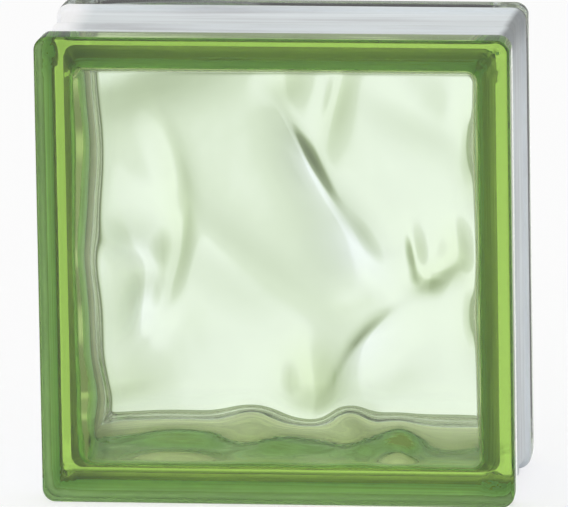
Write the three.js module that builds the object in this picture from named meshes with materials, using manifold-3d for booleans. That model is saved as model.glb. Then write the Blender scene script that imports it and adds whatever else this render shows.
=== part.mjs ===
// A pressed glass block for walls and screens. Two trays of glass, each pressed between a mould and
// a plunger, are fused rim to rim round a sealed air space. The front tray is green glass and the
// rear one is clear. All four edges are recessed between the rims, for mortar and bars.
// Millimetres, +Z up. The block stands on its lower edge with its green face towards -Y, and the
// two trays meet at y = 0.

import * as THREE from "three";
import { mergeVertices } from "three/addons/utils/BufferGeometryUtils.js";
import Module from "manifold-3d";

const wasm = await Module();
wasm.setup();

// The block
const blockWidth = 190;
const blockHeight = 190;
const trayDepth = 40; // outer face to seam

// The outside of a tray, in section: face, rim, hollow slope, recessed edge, half of the seam's bead
const rimWidth = 14;
const rimCornerRadius = 5.5;
const faceEdgeRadius = 1.4;
const rimBackRadius = 1.6;
const slopeLength = 2.6; // from the rim to the recess, along the block's depth
const slopeLean = 0.7; // how far the slope leans away from the rim before it turns
const recessDepth = 2.6; // at the foot of the slope
const recessDraft = 1.8; // how much deeper the recess gets by the seam, under the bead
const recessCornerRadius = 2.5;
const beadHeight = 2.3;
const beadReach = 4.6; // how far the bead spreads on each side of the seam

// The inside of a tray: what the plunger leaves
const paneThickness = 6.2; // where there are no waves
const wallAtSeam = 3.9; // from the recess under the bead
const wallDraft = 4.7; // how much further in the wall stands at its foot
const cavityCornerRadius = 5;
const innerFilletRadius = 2.5;
const plungerOverrun = 2; // past the seam, so that the cut is clean

// The waves in each pane's inner face. Each fold is a long hump, or a hollow where its height is
// below zero. Its middle is placed from the middle of the pane, seen from outside. Turn is the angle
// of its line above the horizontal, and bend is how fast the line curves away. Length is how far it
// runs each way along its line until about a third of its height is left, and above and below are
// the same on either side of its line.
const frontFolds = [
  { x: 0, z: -81, turn: 0, bend: 0, length: 300, above: 15, below: 15, height: 7.8 },
  { x: -86, z: 0, turn: 90, bend: 0, length: 300, above: 14, below: 7.5, height: 7.5 },
  { x: -84, z: 4, turn: 90, bend: 0, length: 15, above: 14, below: 9, height: -2.4 },
  { x: -79, z: -52, turn: 84, bend: 0, length: 12, above: 14, below: 8, height: 3.4 },
  { x: -81, z: 50, turn: 92, bend: 0, length: 18, above: 14, below: 8, height: 2 },
  { x: -41, z: -75, turn: 0, bend: 0, length: 17, above: 9, below: 9, height: 1.8 },
  { x: 48, z: -75, turn: 0, bend: 0, length: 7, above: 9, below: 9, height: 2.7 },
  { x: 68, z: -77, turn: 0, bend: 0, length: 12, above: 8, below: 8, height: -0.8 },
  { x: -11, z: -65, turn: 8, bend: 0, length: 11, above: 8, below: 8, height: 2 },
  { x: -8, z: -81, turn: 8, bend: 0, length: 14, above: 9, below: 9, height: 2.4 },
  { x: 28, z: -65, turn: 0, bend: 0, length: 8, above: 8, below: 8, height: 2.2 },
  { x: 29, z: -81, turn: 0, bend: 0, length: 10, above: 9, below: 9, height: 2.4 },
  { x: 18, z: -46, turn: 66, bend: 0, length: 11, above: 14, below: 5, height: 1.1 },
  { x: 13, z: -46, turn: 4, bend: 0, length: 11, above: 18, below: 11, height: 2.4 },
  { x: 13.5, z: 45, turn: -61, bend: 0, length: 17, above: 3.2, below: 9, height: -3 },
  { x: 30, z: 14, turn: -56, bend: 0, length: 20, above: 8, below: 14, height: -3 },
  { x: 5, z: 78, turn: 0, bend: 0, length: 8, above: 14, below: 9, height: 1.2 },
  { x: 25, z: 70, turn: 76, bend: 0, length: 20, above: 5, below: 6, height: 1.3 },
  { x: 35, z: -28.5, turn: 50, bend: -0.008, length: 14, above: 3.2, below: 9, height: -2 },
  { x: 34, z: -9, turn: 10, bend: 0, length: 12, above: 10, below: 6, height: 1.8 },
  { x: -37, z: 22, turn: 88, bend: 0.006, length: 40, above: 8, below: 4.2, height: 2.2 },
  { x: -56, z: 9, turn: -25, bend: 0, length: 10, above: 9, below: 6, height: -1.3 },
  { x: -53, z: -14, turn: 78, bend: 0, length: 13, above: 6, below: 8, height: -2 },
  { x: -62, z: -46, turn: 16, bend: 0, length: 12, above: 10, below: 7, height: 1.2 },
  { x: 56, z: 8, turn: 100, bend: 0, length: 11, above: 2.2, below: 4, height: 1.7 },
  { x: 62, z: -3, turn: -10, bend: 0, length: 5, above: 2.6, below: 5, height: 0.8 },
  { x: 64, z: 0, turn: 30, bend: 0, length: 10, above: 6, below: 4.5, height: 1.6 },
  { x: 73, z: 10, turn: 98, bend: 0, length: 11, above: 8, below: 4.5, height: 1.8 },
];
const rearFolds = [
  { x: 60, z: 72, turn: -20, bend: 0, length: 40, above: 20, below: 16, height: 4 },
  { x: 28, z: -8, turn: 38, bend: 0, length: 44, above: 10, below: 16, height: 2.4 },
  { x: -50, z: 52, turn: 30, bend: 0, length: 30, above: 14, below: 12, height: 1.6 },
  { x: -10, z: -60, turn: -10, bend: 0, length: 40, above: 20, below: 14, height: 1.2 },
];
const reliefCell = 3.6; // spacing of the points that follow the waves

// How finely round stretches are cut
const cornerSteps = 3;
const sectionSteps = 3;
const beadSteps = 4;
const innerFilletSteps = 3;

const greenGlass = new THREE.MeshStandardMaterial({
  name: "green_glass",
  color: 0x9cc455,
  roughness: 0.03,
  metalness: 0,
  transparent: true,
  opacity: 0.45,
});
const clearGlass = new THREE.MeshStandardMaterial({
  name: "clear_glass",
  color: 0xd3d8da,
  roughness: 0.03,
  metalness: 0,
  transparent: true,
  opacity: 0.4,
});

const slopeFoot = rimWidth + slopeLength;
const cavityInset = recessDepth + recessDraft + wallAtSeam; // at the seam

// How much the folds add to the pane's thickness at a point placed from the pane's middle.
function relief(folds, x, z) {
  let height = 0;
  for (const fold of folds) {
    const turn = THREE.MathUtils.degToRad(fold.turn);
    const along = (x - fold.x) * Math.cos(turn) + (z - fold.z) * Math.sin(turn);
    const line = fold.bend * along ** 2;
    const across = (z - fold.z) * Math.cos(turn) - (x - fold.x) * Math.sin(turn) - line;
    const width = across > 0 ? fold.above : fold.below;
    height += fold.height * Math.exp(-((along / fold.length) ** 2) - (across / width) ** 2);
  }
  return height;
}

// How deep the recess lies at a depth behind the face, between the slope's foot and the seam.
function recessInset(depth) {
  const share = (depth - slopeFoot) / (trayDepth - slopeFoot);
  const near = 1 - (trayDepth - depth) / beadReach; // 0 where the bead starts, 1 at the seam
  const bead = (beadHeight * (1 - Math.cos(Math.PI * near))) / 2;
  return recessDepth + recessDraft * share - bead;
}

// Moves a point of a rectangle's corner inwards onto a round of the given radius.
function roundCorner(point, halfWidth, halfHeight, radius) {
  const out = new THREE.Vector2(
    Math.abs(point.x) - (halfWidth - radius),
    Math.abs(point.y) - (halfHeight - radius),
  );
  if (out.x <= 0 || out.y <= 0) return;
  out.setLength(radius);
  point.x = Math.sign(point.x) * (halfWidth - radius + out.x);
  point.y = Math.sign(point.y) * (halfHeight - radius + out.y);
}

// The round-cornered rectangle that lies inset from the block's edges, seen from the front.
function edgeLoop(inset) {
  const radius = Math.max(rimCornerRadius - inset, recessCornerRadius);
  const x = blockWidth / 2 - inset - radius;
  const z = blockHeight / 2 - inset - radius;
  const loop = new THREE.Path();
  [[x, z], [-x, z], [-x, -z], [x, -z]].forEach(([cornerX, cornerZ], corner) => {
    const start = (corner * Math.PI) / 2;
    loop.absarc(cornerX, cornerZ, radius, start, start + Math.PI / 2);
  });
  return loop.getPoints(cornerSteps);
}

// The outside in section: x is inset from the block's edges and y is depth behind the face.
function outsideSection() {
  const section = new THREE.Path();
  section.absarc(faceEdgeRadius, faceEdgeRadius, faceEdgeRadius, -Math.PI / 2, -Math.PI, true);
  section.absarc(rimBackRadius, rimWidth - rimBackRadius, rimBackRadius, Math.PI, Math.PI / 2, true);
  section.quadraticCurveTo(recessDepth, rimWidth + slopeLean, recessDepth, slopeFoot);
  for (let step = 0; step <= beadSteps; step++) {
    const depth = trayDepth - beadReach * (1 - step / beadSteps);
    section.lineTo(recessInset(depth), depth);
  }
  return section.getPoints(sectionSteps);
}

// The tray before it is hollowed: one loop for each point of the section, closed by flat ends.
function blank() {
  const section = outsideSection();
  const loops = section.map((point) => edgeLoop(point.x));
  const count = loops[0].length;
  const positions = loops.flatMap((loop, i) => loop.flatMap((p) => [p.x, section[i].y - trayDepth, p.y]));
  const faces = [];
  for (let ring = 0; ring < loops.length - 1; ring++) {
    for (let i = 0; i < count; i++) {
      const here = ring * count + i;
      const next = ring * count + ((i + 1) % count);
      faces.push(here, here + count, next, next, here + count, next + count);
    }
  }
  const seam = (loops.length - 1) * count;
  for (const [a, b, c] of THREE.ShapeUtils.triangulateShape(loops[0], [])) {
    faces.push(a, b, c, seam + a, seam + c, seam + b);
  }
  const geometry = new THREE.BufferGeometry();
  geometry.setAttribute("position", new THREE.Float32BufferAttribute(positions, 3));
  geometry.setIndex(faces);
  return geometry;
}

// The plunger's loops, from its working end at the pane to past the seam.
function plungerLoops() {
  const foot = cavityInset + wallDraft;
  const loops = [];
  for (let step = 0; step <= innerFilletSteps; step++) {
    const turn = ((step / innerFilletSteps) * Math.PI) / 2;
    const inward = innerFilletRadius * (1 - Math.sin(turn));
    loops.push({
      inset: foot + inward,
      depth: paneThickness + innerFilletRadius * (1 - Math.cos(turn)),
      radius: Math.max(cavityCornerRadius - inward, 0),
      waves: 1,
    });
  }
  const seam = { inset: cavityInset, depth: trayDepth, radius: cavityCornerRadius, waves: 0 };
  loops.push(seam, { ...seam, depth: trayDepth + plungerOverrun });
  return loops;
}

// The plunger: a box whose points are drawn onto those loops, with the waves on its working end.
function plunger(folds) {
  const loops = plungerLoops();
  const last = loops.length - 1;
  const end = loops[0];
  const columns = Math.round((blockWidth - 2 * end.inset) / reliefCell);
  const rows = Math.round((blockHeight - 2 * end.inset) / reliefCell);
  const box = new THREE.BoxGeometry(2, 2, last, columns, rows, last);
  const position = box.getAttribute("position");
  for (let i = 0; i < position.count; i++) {
    const loop = loops[Math.round(last / 2 - position.getZ(i))];
    const point = new THREE.Vector2(position.getX(i), position.getY(i));
    const share = Math.max(Math.abs(point.x), Math.abs(point.y)); // 1 on the loop, 0 in its middle
    const halfWidth = blockWidth / 2 - loop.inset;
    const halfHeight = blockHeight / 2 - loop.inset;
    point.multiply(new THREE.Vector2(halfWidth, halfHeight));
    roundCorner(point, share * halfWidth, share * halfHeight, share * loop.radius);
    const depth = loop.depth + loop.waves * relief(folds, point.x, point.y);
    position.setXYZ(i, point.x, depth - trayDepth, point.y);
  }
  return box;
}

// A closed mesh as a manifold-3d solid, and back.
function toSolid(geometry) {
  const bare = new THREE.BufferGeometry();
  bare.setAttribute("position", geometry.getAttribute("position"));
  bare.setIndex(geometry.getIndex());
  const merged = mergeVertices(bare);
  const vertProperties = new Float32Array(merged.getAttribute("position").array);
  const triVerts = new Uint32Array(merged.getIndex().array);
  return new wasm.Manifold(new wasm.Mesh({ numProp: 3, vertProperties, triVerts }));
}

function toGeometry(solid) {
  const mesh = solid.getMesh();
  const geometry = new THREE.BufferGeometry();
  geometry.setAttribute("position", new THREE.BufferAttribute(mesh.vertProperties, 3));
  geometry.setIndex(new THREE.BufferAttribute(mesh.triVerts, 1));
  geometry.computeVertexNormals();
  return geometry;
}

const block = new THREE.Group();
function addTray(name, material, folds, turn) {
  const tray = toSolid(blank()).subtract(toSolid(plunger(folds)));
  const mesh = new THREE.Mesh(toGeometry(tray), material);
  mesh.name = name;
  mesh.position.z = blockHeight / 2;
  mesh.rotation.z = turn;
  block.add(mesh);
}
addTray("front_half_shell", greenGlass, frontFolds, 0);
addTray("rear_half_shell", clearGlass, rearFolds, Math.PI); // turned round to face the front one

export default block;
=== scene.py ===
import math

import bmesh
import bpy
from mathutils import Matrix, Vector


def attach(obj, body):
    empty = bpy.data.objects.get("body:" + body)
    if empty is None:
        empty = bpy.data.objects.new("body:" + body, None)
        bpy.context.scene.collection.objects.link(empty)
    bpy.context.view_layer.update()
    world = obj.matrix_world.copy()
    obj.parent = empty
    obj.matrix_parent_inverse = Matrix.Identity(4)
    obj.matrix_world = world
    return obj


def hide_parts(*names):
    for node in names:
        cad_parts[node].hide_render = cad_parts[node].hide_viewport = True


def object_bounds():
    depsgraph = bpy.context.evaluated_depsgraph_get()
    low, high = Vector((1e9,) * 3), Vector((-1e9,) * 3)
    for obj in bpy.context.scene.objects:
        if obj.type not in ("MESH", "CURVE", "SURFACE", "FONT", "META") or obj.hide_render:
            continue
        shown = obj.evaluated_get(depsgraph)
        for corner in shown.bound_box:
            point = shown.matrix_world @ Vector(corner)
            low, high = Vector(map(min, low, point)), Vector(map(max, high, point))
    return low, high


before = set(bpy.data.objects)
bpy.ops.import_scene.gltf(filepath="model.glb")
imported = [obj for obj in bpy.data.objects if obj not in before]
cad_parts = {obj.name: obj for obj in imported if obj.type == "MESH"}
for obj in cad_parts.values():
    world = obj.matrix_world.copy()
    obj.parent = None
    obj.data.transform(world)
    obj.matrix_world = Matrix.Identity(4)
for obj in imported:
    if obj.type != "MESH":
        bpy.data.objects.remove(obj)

cadBox = [list(corner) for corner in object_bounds()]
middle = (cadBox[0][2] + cadBox[1][2]) / 2      # half the block's height
mm = 0.001
print("frame loaded, box", cadBox)

# the pressed shell, in millimetres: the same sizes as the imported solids
shell = {
    "trayDepth": 40,            # face to seam
    "rimWidth": 14,
    "rimCornerRadius": 5.5,
    "faceEdgeRadius": 1.4,
    "rimBackRadius": 1.6,
    "recessDepth": 2.6,         # where the slope ends
    "recessDraft": 1.8,         # how much deeper the recess is at the seam, under the bead
    "recessCornerRadius": 2.5,
    "slopeLength": 2.6,
    "slopeLean": 0.7,
    "beadHeight": 2.3,
    "beadReach": 4.6,           # how far the bead spreads on this side of the seam
    "paneThickness": 6.2,
    "wallAtSeam": 3.9,
    "wallDraft": 4.7,
    "cavityCornerRadius": 5,
    "innerFilletRadius": 2.5,
    "leastCornerRadius": 0.5,
    "faceMargin": 0.8,          # a ring inside the face's edge, which keeps the flat face's shading flat
    "seamGap": 0.03,            # keeps the two fused faces from lying in one plane
    "cells": 200,               # across the pane
    "edgeCrowding": 0.1,        # share by which the cells crowd towards the edges
    "facetAngle": 35,           # degrees, past which an edge is shown sharp
    # how many rings shape each part of the section
    "filletSteps": 10,
    "wallSteps": 14,
    "recessSteps": 18,
    "slopeSteps": 8,
    "rimBackSteps": 6,
    "faceEdgeSteps": 12,
}

# long humps (height above 0) and hollows in a pane's inner face, in millimetres from the middle of its face;
# above and below are how far they run out on either side of their line, bend is how fast the line curves away
frontFolds = [
    {"x": 0, "z": -81, "turn": 0, "bend": 0, "length": 300, "above": 15, "below": 15, "height": 7.8},
    {"x": -86, "z": 0, "turn": 90, "bend": 0, "length": 300, "above": 14, "below": 7.5, "height": 7.5},
    {"x": -84, "z": 4, "turn": 90, "bend": 0, "length": 15, "above": 14, "below": 9, "height": -2.4},
    {"x": -79, "z": -52, "turn": 84, "bend": 0, "length": 12, "above": 14, "below": 8, "height": 3.4},
    {"x": -81, "z": 50, "turn": 92, "bend": 0, "length": 18, "above": 14, "below": 8, "height": 2},
    {"x": -41, "z": -75, "turn": 0, "bend": 0, "length": 17, "above": 9, "below": 9, "height": 1.8},
    {"x": 48, "z": -75, "turn": 0, "bend": 0, "length": 7, "above": 9, "below": 9, "height": 2.7},
    {"x": 68, "z": -77, "turn": 0, "bend": 0, "length": 12, "above": 8, "below": 8, "height": -0.8},
    {"x": -11, "z": -65, "turn": 8, "bend": 0, "length": 11, "above": 8, "below": 8, "height": 2},
    {"x": -8, "z": -81, "turn": 8, "bend": 0, "length": 14, "above": 9, "below": 9, "height": 2.4},
    {"x": 28, "z": -65, "turn": 0, "bend": 0, "length": 8, "above": 8, "below": 8, "height": 2.2},
    {"x": 29, "z": -81, "turn": 0, "bend": 0, "length": 10, "above": 9, "below": 9, "height": 2.4},
    {"x": 18, "z": -46, "turn": 66, "bend": 0, "length": 11, "above": 14, "below": 5, "height": 1.1},
    {"x": 13, "z": -46, "turn": 4, "bend": 0, "length": 11, "above": 18, "below": 11, "height": 2.4},
    {"x": 13.5, "z": 45, "turn": -61, "bend": 0, "length": 17, "above": 3.2, "below": 9, "height": -3},
    {"x": 30, "z": 14, "turn": -56, "bend": 0, "length": 20, "above": 8, "below": 14, "height": -3},
    {"x": 5, "z": 78, "turn": 0, "bend": 0, "length": 8, "above": 14, "below": 9, "height": 1.2},
    {"x": 25, "z": 70, "turn": 76, "bend": 0, "length": 20, "above": 5, "below": 6, "height": 1.3},
    {"x": 35, "z": -28.5, "turn": 50, "bend": -0.008, "length": 14, "above": 3.2, "below": 9, "height": -2},
    {"x": 34, "z": -9, "turn": 10, "bend": 0, "length": 12, "above": 10, "below": 6, "height": 0.5},
    {"x": -37, "z": 22, "turn": 88, "bend": 0.006, "length": 36, "above": 8, "below": 4.2, "height": 1.5},
    {"x": -56, "z": 9, "turn": -25, "bend": 0, "length": 10, "above": 9, "below": 6, "height": -1.3},
    {"x": -53, "z": -14, "turn": 78, "bend": 0, "length": 13, "above": 6, "below": 8, "height": -2},
    {"x": -62, "z": -46, "turn": 16, "bend": 0, "length": 12, "above": 10, "below": 7, "height": 1.2},
    {"x": 56, "z": 8, "turn": 100, "bend": 0, "length": 9, "above": 2.6, "below": 4, "height": 1.3},
    {"x": 62, "z": -3, "turn": -10, "bend": 0, "length": 5, "above": 2.6, "below": 5, "height": 0.8},
    {"x": 64, "z": 0, "turn": 30, "bend": 0, "length": 10, "above": 6, "below": 4.5, "height": 1.6},
    {"x": 73, "z": 10, "turn": 98, "bend": 0, "length": 11, "above": 8, "below": 4.5, "height": 1.8},
    {"x": 84, "z": 51, "turn": 90, "bend": 0, "length": 22, "above": 8, "below": 12, "height": 2.8},
    {"x": 84, "z": -17, "turn": 90, "bend": 0, "length": 20, "above": 8, "below": 12, "height": 2.6},
]
rearFolds = [
    {"x": 60, "z": 72, "turn": -20, "bend": 0, "length": 40, "above": 20, "below": 16, "height": 4},
    {"x": 28, "z": -8, "turn": 38, "bend": 0, "length": 44, "above": 10, "below": 16, "height": 2.4},
    {"x": -50, "z": 52, "turn": 30, "bend": 0, "length": 30, "above": 14, "below": 12, "height": 1.6},
    {"x": -10, "z": -60, "turn": -10, "bend": 0, "length": 40, "above": 20, "below": 14, "height": 1.2},
]


def relief(folds, x, z):
    height = 0
    for fold in folds:
        turn = math.radians(fold["turn"])
        dx, dz = x - fold["x"], z - fold["z"]
        along = dx * math.cos(turn) + dz * math.sin(turn)
        across = dz * math.cos(turn) - dx * math.sin(turn) - fold["bend"] * along * along
        across /= fold["above"] if across > 0 else fold["below"]
        height += fold["height"] * math.exp(-(along / fold["length"]) ** 2 - across * across)
    return height


# points on a turn in degrees round a centre
def arc(centre, radius, start, end, steps):
    for step in range(steps + 1):
        turn = math.radians(start + (end - start) * step / steps)
        yield centre[0] + radius * math.cos(turn), centre[1] + radius * math.sin(turn)


# the loops of the inside, from the pane's edge over the fillet and up the wall to the seam
def innerStations(s):
    foot = s["recessDepth"] + s["recessDraft"] + s["wallAtSeam"] + s["wallDraft"]
    wallTop = s["paneThickness"] + s["innerFilletRadius"]
    filletCentre = (foot + s["innerFilletRadius"], wallTop)
    stations = []
    for inset, depth in arc(filletCentre, s["innerFilletRadius"], -90, -180, s["filletSteps"]):
        radius = max(s["cavityCornerRadius"] - (inset - foot), s["leastCornerRadius"])
        stations.append({"inset": inset, "depth": depth, "radius": radius, "waves": 1, "coat": False})
    for step in range(1, s["wallSteps"] + 1):
        up = step / s["wallSteps"]
        stations.append({
            "inset": foot - s["wallDraft"] * up,
            "depth": wallTop + (s["trayDepth"] - s["seamGap"] - wallTop) * up,
            "radius": s["cavityCornerRadius"],
            "waves": 1 - up,
            "coat": False,
        })
    return stations


# how deep the recess lies at a depth behind the face, between the slope and the seam
def recessInset(s, depth):
    slopeFoot = s["rimWidth"] + s["slopeLength"]
    inset = s["recessDepth"] + s["recessDraft"] * (depth - slopeFoot) / (s["trayDepth"] - slopeFoot)
    near = (s["trayDepth"] - depth) / s["beadReach"]
    if near < 1:
        inset -= s["beadHeight"] * (1 + math.cos(math.pi * near)) / 2
    return inset


# the loops of the outside, from the seam over the recess, the slope and the rim to the face
def outerStations(s):
    seam = s["trayDepth"] - s["seamGap"]
    slopeFoot = s["rimWidth"] + s["slopeLength"]
    points = [(recessInset(s, seam), seam, False)]
    for step in range(1, s["recessSteps"]):
        depth = seam + (slopeFoot - seam) * step / s["recessSteps"]
        points.append((recessInset(s, depth), depth, True))
    ends = ((s["recessDepth"], slopeFoot), (s["rimBackRadius"], s["rimWidth"]))
    bend = (s["recessDepth"], s["rimWidth"] + s["slopeLean"])
    for step in range(s["slopeSteps"] + 1):
        t = step / s["slopeSteps"]
        inset = (1 - t) ** 2 * ends[0][0] + 2 * t * (1 - t) * bend[0] + t * t * ends[1][0]
        depth = (1 - t) ** 2 * ends[0][1] + 2 * t * (1 - t) * bend[1] + t * t * ends[1][1]
        points.append((inset, depth, True))
    rimBack = (s["rimBackRadius"], s["rimWidth"] - s["rimBackRadius"])
    for step, (inset, depth) in enumerate(arc(rimBack, s["rimBackRadius"], 90, 180, s["rimBackSteps"])):
        if step:
            points.append((inset, depth, step < s["rimBackSteps"]))
    edge = s["faceEdgeRadius"]
    points += [(inset, depth, False) for inset, depth in arc((edge, edge), edge, 180, 270, s["faceEdgeSteps"])]
    points.append((edge + s["faceMargin"], 0, False))
    return [{
        "inset": inset,
        "depth": depth,
        "radius": max(s["rimCornerRadius"] - inset, s["recessCornerRadius"]),
        "waves": 0,
        "coat": coat,
    } for inset, depth, coat in points]


# moves a pane point, with u and v from -1 to 1, to its place on a station's round-cornered loop
def placeVertex(vertex, u, v, station, s, half, folds):
    share = max(abs(u), abs(v))
    width, height = half[0] - station["inset"], half[1] - station["inset"]
    radius = station["radius"] * share
    x, z = u * width, v * height
    outX, outZ = abs(x) - (share * width - radius), abs(z) - (share * height - radius)
    if outX > 0 and outZ > 0:
        pull = radius / math.hypot(outX, outZ)
        x = math.copysign(share * width - radius + outX * pull, x)
        z = math.copysign(share * height - radius + outZ * pull, z)
    depth = station["depth"]
    if station["waves"]:
        depth += station["waves"] * relief(folds, x, z)
    vertex.co = Vector((x, depth - s["trayDepth"], z + half[1])) * mm


def makeShell(name, s, folds, turned, glass, coat):
    low, high = Vector(cadBox[0]), Vector(cadBox[1])
    half = ((high.x - low.x) / 2 / mm, (high.z - low.z) / 2 / mm)
    mesh = bpy.data.meshes.new(name)
    bm = bmesh.new()
    bmesh.ops.create_grid(bm, x_segments=s["cells"], y_segments=s["cells"], size=1)
    uLayer = bm.verts.layers.float.new("across")
    vLayer = bm.verts.layers.float.new("up")
    crowd = s["edgeCrowding"]
    for vertex in bm.verts:
        u, v = vertex.co.x, vertex.co.y
        vertex[uLayer] = u * (1 + crowd) - crowd * u ** 3
        vertex[vLayer] = v * (1 + crowd) - crowd * v ** 3
    stations = innerStations(s) + outerStations(s)
    for vertex in bm.verts:
        placeVertex(vertex, vertex[uLayer], vertex[vLayer], stations[0], s, half, folds)
    ring = [edge for edge in bm.edges if edge.is_boundary]
    for station in stations[1:]:
        made = bmesh.ops.extrude_edge_only(bm, edges=ring)["geom"]
        ring = [g for g in made if isinstance(g, bmesh.types.BMEdge) and g.is_boundary]
        for vertex in (g for g in made if isinstance(g, bmesh.types.BMVert)):
            placeVertex(vertex, vertex[uLayer], vertex[vLayer], station, s, half, folds)
        for face in (g for g in made if isinstance(g, bmesh.types.BMFace)):
            face.material_index = 1 if station["coat"] else 0
    bmesh.ops.contextual_create(bm, geom=ring, mat_nr=0)
    if turned:
        bmesh.ops.rotate(bm, verts=bm.verts, cent=(0, 0, 0), matrix=Matrix.Rotation(math.pi, 3, "Z"))
    bmesh.ops.recalc_face_normals(bm, faces=bm.faces)
    for face in bm.faces:
        face.smooth = True
    for layer in ("across", "up"):
        bm.verts.layers.float.remove(bm.verts.layers.float[layer])
    bm.to_mesh(mesh)
    bm.free()
    mesh.set_sharp_from_angle(angle=math.radians(s["facetAngle"]))
    for material in (glass, coat):
        mesh.materials.append(material)
    piece = bpy.data.objects.new(name, mesh)
    bpy.context.scene.collection.objects.link(piece)
    print(name, len(mesh.vertices), "vertices", len(mesh.polygons), "faces")
    return piece


def startMaterial(name):
    material = bpy.data.materials.new(name)
    material.use_nodes = True
    nodes, links = material.node_tree.nodes, material.node_tree.links
    return material, nodes, links, nodes["Principled BSDF"]


def setOrLink(links, socket, value):
    if isinstance(value, (int, float, tuple)):
        socket.default_value = value
    else:
        links.new(value, socket)


def addMath(nodes, links, operation, first, second):
    node = nodes.new("ShaderNodeMath")
    node.operation = operation
    for socket, value in zip(node.inputs, (first, second)):
        setOrLink(links, socket, value)
    return node.outputs[0]


# a value that runs through stops of (position, value) as its source grows; a ramp holds no value over 1,
# so the stops are shrunk to fit and grown again after it
def addRamp(nodes, links, source, low, high, stops):
    share = nodes.new("ShaderNodeMapRange")
    share.inputs["From Min"].default_value = low
    share.inputs["From Max"].default_value = high
    links.new(source, share.inputs["Value"])
    ramp = nodes.new("ShaderNodeValToRGB")
    elements = ramp.color_ramp.elements
    top = max(1, *(value for _, value in stops))
    for i, (position, value) in enumerate(stops):
        place = (position - low) / (high - low)
        element = elements[i] if i < 2 else elements.new(place)
        element.position = place
        element.color = (value / top, value / top, value / top, 1)
    links.new(share.outputs["Result"], ramp.inputs["Fac"])
    return addScale(nodes, links, ramp.outputs["Color"], (top,) * 3) if top > 1 else ramp.outputs["Color"]


def addMix(nodes, links, share, first, second):
    mix = nodes.new("ShaderNodeMix")
    mix.data_type = "RGBA"
    links.new(share, mix.inputs["Factor"])
    for socket, value in zip((mix.inputs[6], mix.inputs[7]), (first, second)):
        setOrLink(links, socket, value)
    return mix.outputs[2]


# a colour times a tint or a value, which may go over 1
def addScale(nodes, links, color, by):
    mix = nodes.new("ShaderNodeVectorMath")
    mix.operation = "MULTIPLY"
    links.new(color, mix.inputs[0])
    setOrLink(links, mix.inputs[1], by)
    return mix.outputs[0]


def addRange(nodes, links, source, fromLow, fromHigh, toLow, toHigh):
    node = nodes.new("ShaderNodeMapRange")
    for socket, value in zip(node.inputs[1:5], (fromLow, fromHigh, toLow, toHigh)):
        setOrLink(links, socket, value)
    links.new(source, node.inputs["Value"])
    return node.outputs["Result"]


# an effect that several materials share, with its named sockets
def startGroup(name, inputs, outputs):
    group = bpy.data.node_groups.new(name, "ShaderNodeTree")
    for label, kind in inputs.items():
        group.interface.new_socket(name=label, in_out="INPUT", socket_type="NodeSocket" + kind)
    for label, kind in outputs.items():
        group.interface.new_socket(name=label, in_out="OUTPUT", socket_type="NodeSocket" + kind)
    nodes, links = group.nodes, group.links
    return group, nodes, links, nodes.new("NodeGroupInput").outputs, nodes.new("NodeGroupOutput").inputs


def addGroup(nodes, group, values):
    node = nodes.new("ShaderNodeGroup")
    node.node_tree = group
    for label, value in values.items():
        node.inputs[label].default_value = (*value, 1) if isinstance(value, tuple) else value
    return node.outputs


# noise in the piece's own coordinates, pulled out by a different scale along each axis
def addNoise(nodes, links, stretch, detail):
    coordinate = nodes.new("ShaderNodeTexCoord")
    mapping = nodes.new("ShaderNodeMapping")
    mapping.inputs["Scale"].default_value = stretch
    links.new(coordinate.outputs["Object"], mapping.inputs["Vector"])
    noise = nodes.new("ShaderNodeTexNoise")
    noise.inputs["Scale"].default_value = 1
    noise.inputs["Detail"].default_value = detail
    noise.inputs["Roughness"].default_value = 0.55
    links.new(mapping.outputs["Vector"], noise.inputs["Vector"])
    return noise.outputs["Fac"]


def addBump(nodes, links, height, distance, normal=None):
    bump = nodes.new("ShaderNodeBump")
    bump.inputs["Strength"].default_value = 1
    setOrLink(links, bump.inputs["Distance"], distance)
    links.new(height, bump.inputs["Height"])
    if normal:
        links.new(normal, bump.inputs["Normal"])
    return bump.outputs["Normal"]


# the skin's heights are in millimetres
greenGlass = {
    "absorb": (0.635, 0.808, 0.012),
    "density": 60,
    "ior": 1.52,
    "rollHeight": 0.08,
    "flowHeight": 0.2,
}
clearGlass = {
    "absorb": (0.96, 0.97, 0.965),
    "density": 60,
    "ior": 1.52,
    "rollHeight": 0.08,
    "flowHeight": 0.2,
}
glassSkin = {
    "flowStretch": (7, 240, 7),     # per metre: close together from face to seam, long around the block
    "flowDetail": 3,
    "rollScale": 40,
    "rollDetail": 2,
    # small dents and bumps left in the corners, in millimetres from the middle of the face
    "dents": [
        {"x": 91, "z": 91.5, "radius": 2.6, "height": -0.5},
        {"x": 85.5, "z": 87, "radius": 3, "height": 0.4},
        {"x": 89, "z": 84, "radius": 5, "height": 0.3},
        {"x": -87, "z": 90, "radius": 6, "height": 0.5},
        {"x": -91, "z": 84, "radius": 4, "height": -0.3},
        {"x": -78, "z": 82, "radius": 3, "height": -0.4},
        {"x": 88, "z": -84, "radius": 6, "height": 0.6},
        {"x": -86, "z": -86, "radius": 8, "height": -0.7},
    ],
    "dentFalloff": 1.5,
    "dentWarp": 1.6,                # millimetres by which their outlines wander
    "dentWarpScale": 300,
}


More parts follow.
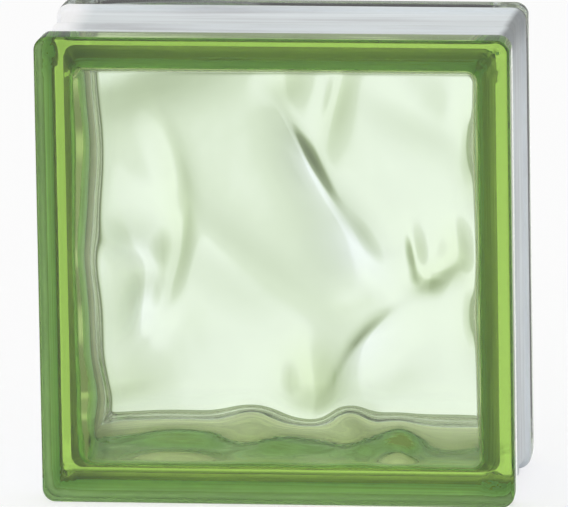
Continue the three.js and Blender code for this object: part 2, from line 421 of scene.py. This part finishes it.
# pressed glass: flow lines that run round the block, over a slow roll of the whole surface, and a few dents
def makeGlassSkin(k):
    group, nodes, links, given, made = startGroup(
        "pressed skin", {"Roll Height": "Float", "Flow Height": "Float"}, {"Normal": "Vector"})
    roll = addNoise(nodes, links, (k["rollScale"],) * 3, k["rollDetail"])
    roll = addBump(nodes, links, roll, given["Roll Height"])
    flow = addNoise(nodes, links, k["flowStretch"], k["flowDetail"])
    flow = addBump(nodes, links, flow, given["Flow Height"], roll)
    coordinate = nodes.new("ShaderNodeTexCoord")
    wander = nodes.new("ShaderNodeTexNoise")
    wander.inputs["Scale"].default_value = k["dentWarpScale"]
    wander.inputs["Detail"].default_value = 1
    links.new(coordinate.outputs["Object"], wander.inputs["Vector"])
    warp = nodes.new("ShaderNodeVectorMath")
    warp.operation = "MULTIPLY_ADD"
    links.new(wander.outputs["Color"], warp.inputs[0])
    warp.inputs[1].default_value = (2 * k["dentWarp"] * mm,) * 3
    links.new(coordinate.outputs["Object"], warp.inputs[2])
    flat = addScale(nodes, links, warp.outputs[0], (1, 0, 1))
    height = None
    for dent in k["dents"]:
        away = nodes.new("ShaderNodeVectorMath")
        away.operation = "DISTANCE"
        links.new(flat, away.inputs[0])
        away.inputs[1].default_value = (dent["x"] * mm, 0, dent["z"] * mm + middle)
        spot = addRange(nodes, links, away.outputs["Value"], 0, dent["radius"] * mm, 1, 0)
        spot = addMath(nodes, links, "POWER", spot, k["dentFalloff"])
        spot = addMath(nodes, links, "MULTIPLY", spot, dent["height"])
        height = addMath(nodes, links, "ADD", height, spot) if height else spot
    links.new(addBump(nodes, links, height, mm, flow), made["Normal"])
    return group


def makeGlass(name, g, skin):
    material, nodes, links, surface = startMaterial(name)
    heights = {"Roll Height": g["rollHeight"] * mm, "Flow Height": g["flowHeight"] * mm}
    surface.inputs["Base Color"].default_value = (1, 1, 1, 1)
    surface.inputs["Roughness"].default_value = 0.0
    surface.inputs["IOR"].default_value = g["ior"]
    surface.inputs["Transmission Weight"].default_value = 1
    links.new(addGroup(nodes, skin, heights)["Normal"], surface.inputs["Normal"])
    volume = nodes.new("ShaderNodeVolumeAbsorption")
    volume.inputs["Color"].default_value = (*g["absorb"], 1)
    volume.inputs["Density"].default_value = g["density"]
    links.new(volume.outputs["Volume"], nodes["Material Output"].inputs["Volume"])
    return material


coating = {
    "color": (0.79, 0.84, 0.85),
    "streak": (0.60, 0.62, 0.63),
    "cornerHighlight": (1.0, 1.0, 1.0),       # a painted highlight: the whitest patch, in the top's left corner
    "cornerHighlightReach": 16,               # millimetres in from the left side and down from the top
    "cornerHighlightEdge": 5,                 # and where it is full, below the top
    "streakStretch": (10, 300, 10),
    "streakDetail": 5,
    "streakFrom": 0.42,             # of the noise, where a streak starts to show and where it is full
    "streakFull": 0.66,
    "patchStretch": (22, 60, 22),   # where the streaks are strong and where they fade
    "patchDetail": 2,
    "patchLeast": 0.25,
    # painted highlights and plain bands along the block, from the front rim's back to the rear rim's, with the
    # bead in the middle: the lighter lines at the front rim's back, at the bead's rear edge and near the rear
    # rim are painted highlights
    "bandsAndHighlights": [(-0.0255, 1.15), (-0.0242, 1.0), (-0.006, 0.98), (-0.0046, 0.96), (0.0034, 0.96),
              (0.0046, 1.1), (0.0058, 1.08), (0.0072, 0.97), (0.016, 0.97), (0.021, 1.04), (0.0228, 1.0),
              (0.0236, 1.08), (0.0246, 0.98)],
    # painted shade down the right side from the upper corner, where it is darkest
    "mitreShade": [(-0.004, 1.0), (-0.001, 0.42), (0.006, 0.5), (0.014, 0.76), (0.03, 0.94), (0.055, 0.99)],
    "mottleScale": 60,
    "mottleDetail": 3,
    "foot": 23.4,                   # millimetres from the seam to the foot of the slope
    "slopeFrom": 23.1,              # and to where the slope's tint sets in, and where it is full
    "slopeFull": 23.9,
    "insideStreak": (1.15, 0.8),    # how light the inside is between the streaks, and in them
    "leftShadeFrom": -0.06,              # where the inside's painted shade towards the left side sets in, and where it is full
    "leftShadeFull": -0.085,
    "roughness": 0.62,
    "roughnessSpread": 0.12,
    "bumpHeight": 0.05,
}

# the coating where it is seen through the glass: at the foot of the slope, at the seam, on the slope,
# and what is left of all three near the left side; the seam's and slope's darker tints and the left side's
# share are painted shade
frontInside = {"Foot": (0.70, 0.88, 1.0), "Seam": (0.55, 0.74, 0.86), "Slope": (0.36, 0.47, 0.45), "Left": 1.0}
rearInside = {"Foot": (0.97, 1.0, 0.66), "Seam": (0.56, 0.62, 0.34), "Slope": (0.80, 0.86, 0.62), "Left": 0.62}


# brushed-on bonding coat: outside it has streaks, bands along the block and a fine mottle, with painted
# highlight lines along the block, painted shade down the right side from the upper corner and a painted
# highlight in the top's left corner; inside, against the glass, a tint that changes from the seam to the slope,
# with painted shade darker towards the seam and the left side
def makeBrushedCoat(c):
    group, nodes, links, given, made = startGroup(
        "brushed coat", {"Foot": "Color", "Seam": "Color", "Slope": "Color", "Left": "Float"},
        {"Outside": "Color", "Inside": "Color", "Roughness": "Float", "Normal": "Vector"})
    streak = addNoise(nodes, links, c["streakStretch"], c["streakDetail"])
    patch = addNoise(nodes, links, c["patchStretch"], c["patchDetail"])
    mottle = addNoise(nodes, links, (c["mottleScale"],) * 3, c["mottleDetail"])
    coordinate = nodes.new("ShaderNodeTexCoord")
    place = nodes.new("ShaderNodeSeparateXYZ")
    links.new(coordinate.outputs["Object"], place.inputs[0])
    x, y, z = place.outputs

    streaks = addRange(nodes, links, streak, c["streakFrom"], c["streakFull"], 0, 1)
    patches = addRange(nodes, links, patch, 0.35, 0.65, c["patchLeast"], 1)
    strength = addMath(nodes, links, "MULTIPLY", streaks, patches)
    outside = addMix(nodes, links, strength, (*c["color"], 1), (*c["streak"], 1))
    # painted highlight lines and plain bands along the block
    outside = addScale(nodes, links, outside, addRamp(nodes, links, y, -0.03, 0.03, c["bandsAndHighlights"]))
    # painted shade: darkest along the upper right corner's mitre, fading down the right side
    below = addMath(nodes, links, "SUBTRACT", x, addMath(nodes, links, "SUBTRACT", z, middle))
    outside = addScale(nodes, links, outside, addRamp(nodes, links, below, -0.01, 0.06, c["mitreShade"]))
    # a painted highlight in the top's left corner, where the light falls strongest
    reach = c["cornerHighlightReach"] * mm
    fromLeft = addMath(nodes, links, "ADD", x, cadBox[1][0])
    fromTop = addMath(nodes, links, "SUBTRACT", cadBox[1][2], z)
    cornerHighlight = addMath(nodes, links, "MULTIPLY", addRange(nodes, links, fromLeft, reach / 2, reach, 1, 0),
                    addRange(nodes, links, fromTop, c["cornerHighlightEdge"] * mm, reach, 1, 0))
    links.new(addMix(nodes, links, cornerHighlight, outside, (*c["cornerHighlight"], 1)), made["Outside"])

    # inside: painted shade, darker from the foot of the slope towards the seam, and a darker tint on the slope
    fromSeam = addMath(nodes, links, "ABSOLUTE", y, 0)
    toFoot = addRange(nodes, links, fromSeam, 0, c["foot"] * mm, 0, 1)
    slope = addRange(nodes, links, fromSeam, c["slopeFrom"] * mm, c["slopeFull"] * mm, 0, 1)
    inside = addMix(nodes, links, toFoot, given["Seam"], given["Foot"])
    inside = addMix(nodes, links, slope, inside, given["Slope"])
    streaked = addRange(nodes, links, streak, 0.35, 0.65, *c["insideStreak"])
    inside = addScale(nodes, links, inside, streaked)
    # painted shade towards the left side
    leftShade = addRange(nodes, links, x, c["leftShadeFull"], c["leftShadeFrom"], given["Left"], 1)
    links.new(addScale(nodes, links, inside, leftShade), made["Inside"])

    low, high = c["roughness"] - c["roughnessSpread"], c["roughness"] + c["roughnessSpread"]
    links.new(addRange(nodes, links, mottle, 0.3, 0.7, low, high), made["Roughness"])
    grain = addBump(nodes, links, mottle, c["bumpHeight"] * mm)
    links.new(addBump(nodes, links, streak, c["bumpHeight"] * mm, grain), made["Normal"])
    return group


def makeCoating(name, brushedCoat, inside):
    material, nodes, links, surface = startMaterial(name)
    coat = addGroup(nodes, brushedCoat, inside)
    geometry = nodes.new("ShaderNodeNewGeometry")
    color = addMix(nodes, links, geometry.outputs["Backfacing"], coat["Outside"], coat["Inside"])
    links.new(color, surface.inputs["Base Color"])
    for label in ("Roughness", "Normal"):
        links.new(coat[label], surface.inputs[label])
    return material


view = {
    "azimuth": 7.15,            # degrees, to the right of the face
    "elevation": 12.66,
    "roll": -0.93,
    "distance": 4.6,
    "aim": (-0.0009, 0.0, 0.0941),
    "focalPixels": 11469,
    "imageWidth": 568,
}


def makeCamera(v):
    azimuth, elevation, roll = (math.radians(v[k]) for k in ("azimuth", "elevation", "roll"))
    back = Vector((math.sin(azimuth) * math.cos(elevation),
                   -math.cos(azimuth) * math.cos(elevation), math.sin(elevation)))
    level = Vector((0, 0, 1)).cross(back).normalized()
    upright = back.cross(level)
    right = level * math.cos(roll) + upright * math.sin(roll)
    up = back.cross(right)
    data = bpy.data.cameras.new("camera")
    data.lens = v["focalPixels"] / v["imageWidth"] * data.sensor_width
    camera = bpy.data.objects.new("camera", data)
    turn = Matrix((right, up, back)).transposed().to_4x4()
    camera.matrix_world = Matrix.Translation(Vector(v["aim"]) + back * v["distance"]) @ turn
    bpy.context.scene.collection.objects.link(camera)
    bpy.context.scene.camera = camera


room = {
    "floorSize": 12,
    "floorDrop": 0.0002,
    "floorColor": 0.86,
    "floorShade": 0.4,          # what of that colour is left where the floor is seen, to carry the shadow
    "floorGlow": 0.62,          # and what it glows there, to come out white
    # what the glass shows behind the block, against the rise of the sight line: a bright floor that fades
    # towards the horizon
    "behindRise": [(-0.6, 0.5), (-0.5, 0.35), (-0.435, 0.35), (-0.415, 0.85), (-0.39, 1), (-0.25, 0.97),
                   (-0.21, 0.92), (-0.16, 0.83), (-0.1, 0.68), (-0.04, 0.54), (0.02, 0.42), (0.1, 0.3),
                   (0.22, 0.3), (0.5, 1.2)],
    # and what is left of that against its turn to the left or the right
    "behindTurn": [(-1, 0.15), (-0.55, 0.3), (-0.45, 0.5), (-0.35, 0.7), (-0.25, 0.8), (-0.2, 0.84),
                   (-0.155, 0.91), (-0.14, 0.94), (-0.128, 1.03), (-0.114, 1.09), (-0.1, 1.1), (-0.02, 1.1),
                   (0.08, 0.55), (0.2, 0.5)],
    "behindShade": (0.84, 1.02, 0.5),   # the tint of its darkest places
    # what it shows in front of the block, against the same rise, and how one gives way to the other
    "frontRise": [(-0.34, 0.35), (-0.27, 0.7), (-0.17, 0.7), (-0.1, 0.45), (0.9, 0.45)],
    "frontToBehind": [(-0.1, 0), (0.7, 1)],
    "glassTint": (0.98, 1.04, 1.17),
    # what the outside of the glass mirrors
    "mirroredFront": 1.0,
    "mirroredBehind": 0.4,
    "glint": 1.3,               # a light behind, seen in the rims' far edges
    "glintAim": (-0.121, 0.968, -0.219),
    "glintEdge": 0.976,         # the cosine at which it sets in, and at which it is full
    "glintFull": 0.985,
    "skyLeft": 1.0,             # the soft light that falls on the surfaces
    "skyRight": 0.75,
    "throughGlass": (2.3, 2.3, 3.1),    # and on the coating's inside, past the glass that takes most of it
    "lightBounces": 24,         # enough for a ray to get out of both shells
}


def makeWorld(r):
    world = bpy.data.worlds.new("studio")
    world.use_nodes = True
    bpy.context.scene.world = world
    nodes, links = world.node_tree.nodes, world.node_tree.links
    background = nodes["Background"]
    coordinate = nodes.new("ShaderNodeTexCoord")
    split = nodes.new("ShaderNodeSeparateXYZ")
    links.new(coordinate.outputs["Generated"], split.inputs[0])
    # what glass shows
    behind = addRamp(nodes, links, split.outputs["Z"], -0.6, 0.6, r["behindRise"])
    away = addMath(nodes, links, "MAXIMUM", split.outputs["Y"], 0.1)
    turn = addMath(nodes, links, "DIVIDE", split.outputs["X"], away)
    behind = addScale(nodes, links, behind, addRamp(nodes, links, turn, -1, 0.2, r["behindTurn"]))
    tint = addMix(nodes, links, behind, (*r["behindShade"], 1), (1, 1, 1, 1))
    behind = addScale(nodes, links, behind, tint)
    front = addRamp(nodes, links, split.outputs["Z"], -0.4, 1, r["frontRise"])
    backward = addRamp(nodes, links, split.outputs["Y"], -1, 1, r["frontToBehind"])
    shown = addMix(nodes, links, backward, front, behind)
    shown = addScale(nodes, links, shown, r["glassTint"])
    path = nodes.new("ShaderNodeLightPath")
    sharp = addMath(nodes, links, "MAXIMUM", path.outputs["Is Glossy Ray"], path.outputs["Is Transmission Ray"])
    mirrored = addMath(nodes, links, "SUBTRACT", sharp, path.outputs["Is Transmission Ray"])
    toGlint = nodes.new("ShaderNodeVectorMath")
    toGlint.operation = "DOT_PRODUCT"
    links.new(coordinate.outputs["Generated"], toGlint.inputs[0])
    toGlint.inputs[1].default_value = r["glintAim"]
    glint = [(r["glintEdge"], r["mirroredBehind"]), (r["glintFull"], r["glint"])]
    outside = addRamp(nodes, links, toGlint.outputs["Value"], 0.9, 1, glint)
    outside = addMix(nodes, links, backward, (r["mirroredFront"],) * 3 + (1,), outside)
    shown = addMix(nodes, links, mirrored, shown, outside)
    # the soft light that falls on everything, a little stronger from the left
    light = addRamp(nodes, links, split.outputs["X"], -1, 1, [(-0.8, r["skyLeft"]), (0.8, r["skyRight"])])
    scattered = addMath(nodes, links, "MINIMUM", path.outputs["Diffuse Depth"], 1)
    shown = addMix(nodes, links, scattered, shown, (*r["throughGlass"], 1))
    color = addMix(nodes, links, sharp, light, shown)
    color = addMix(nodes, links, path.outputs["Is Camera Ray"], color, (1, 1, 1, 1))
    links.new(color, background.inputs["Color"])
    background.inputs["Strength"].default_value = 1.0


def makeFloor(r):
    mesh = bpy.data.meshes.new("floor")
    bm = bmesh.new()
    bmesh.ops.create_grid(bm, x_segments=1, y_segments=1, size=r["floorSize"] / 2)
    bmesh.ops.translate(bm, verts=bm.verts, vec=(0, 0, -r["floorDrop"]))
    bm.to_mesh(mesh)
    bm.free()
    floor = bpy.data.objects.new("floor", mesh)
    bpy.context.scene.collection.objects.link(floor)
    material, nodes, links, surface = startMaterial("pale floor")
    surface.inputs["Roughness"].default_value = 1
    surface.inputs["Specular IOR Level"].default_value = 0
    path = nodes.new("ShaderNodeLightPath")
    seen = path.outputs["Is Camera Ray"]
    plain = (r["floorColor"],) * 3 + (1,)
    shade = (r["floorShade"],) * 3 + (1,)
    links.new(addMix(nodes, links, seen, plain, shade), surface.inputs["Base Color"])
    surface.inputs["Emission Color"].default_value = (1, 1, 1, 1)
    links.new(addMath(nodes, links, "MULTIPLY", seen, r["floorGlow"]), surface.inputs["Emission Strength"])
    # glass looks through it to the world, which holds the floor's far light and dark
    sharp = addMath(nodes, links, "MAXIMUM", path.outputs["Is Glossy Ray"], path.outputs["Is Transmission Ray"])
    through = nodes.new("ShaderNodeBsdfTransparent")
    mix = nodes.new("ShaderNodeMixShader")
    links.new(sharp, mix.inputs["Fac"])
    links.new(surface.outputs["BSDF"], mix.inputs[1])
    links.new(through.outputs["BSDF"], mix.inputs[2])
    links.new(mix.outputs["Shader"], nodes["Material Output"].inputs["Surface"])
    mesh.materials.append(material)


makeCamera(view)
makeWorld(room)
makeFloor(room)
print("camera and room set")

skin = makeGlassSkin(glassSkin)
green = makeGlass("green glass", greenGlass, skin)
clear = makeGlass("clear glass", clearGlass, skin)
brushedCoat = makeBrushedCoat(coating)
frontCoat = makeCoating("front edge coating", brushedCoat, frontInside)
rearCoat = makeCoating("rear edge coating", brushedCoat, rearInside)
print("glass and coating made")

frontShell = makeShell("green_front_shell", shell, frontFolds, False, green, frontCoat)
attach(frontShell, "root")
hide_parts("front_half_shell")

rearShell = makeShell("clear_rear_shell", shell, rearFolds, True, clear, rearCoat)
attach(rearShell, "root")
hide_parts("rear_half_shell")

bpy.context.scene.view_settings.view_transform = "Standard"
bpy.context.scene.cycles.max_bounces = room["lightBounces"]
bpy.context.scene.cycles.transmission_bounces = room["lightBounces"]
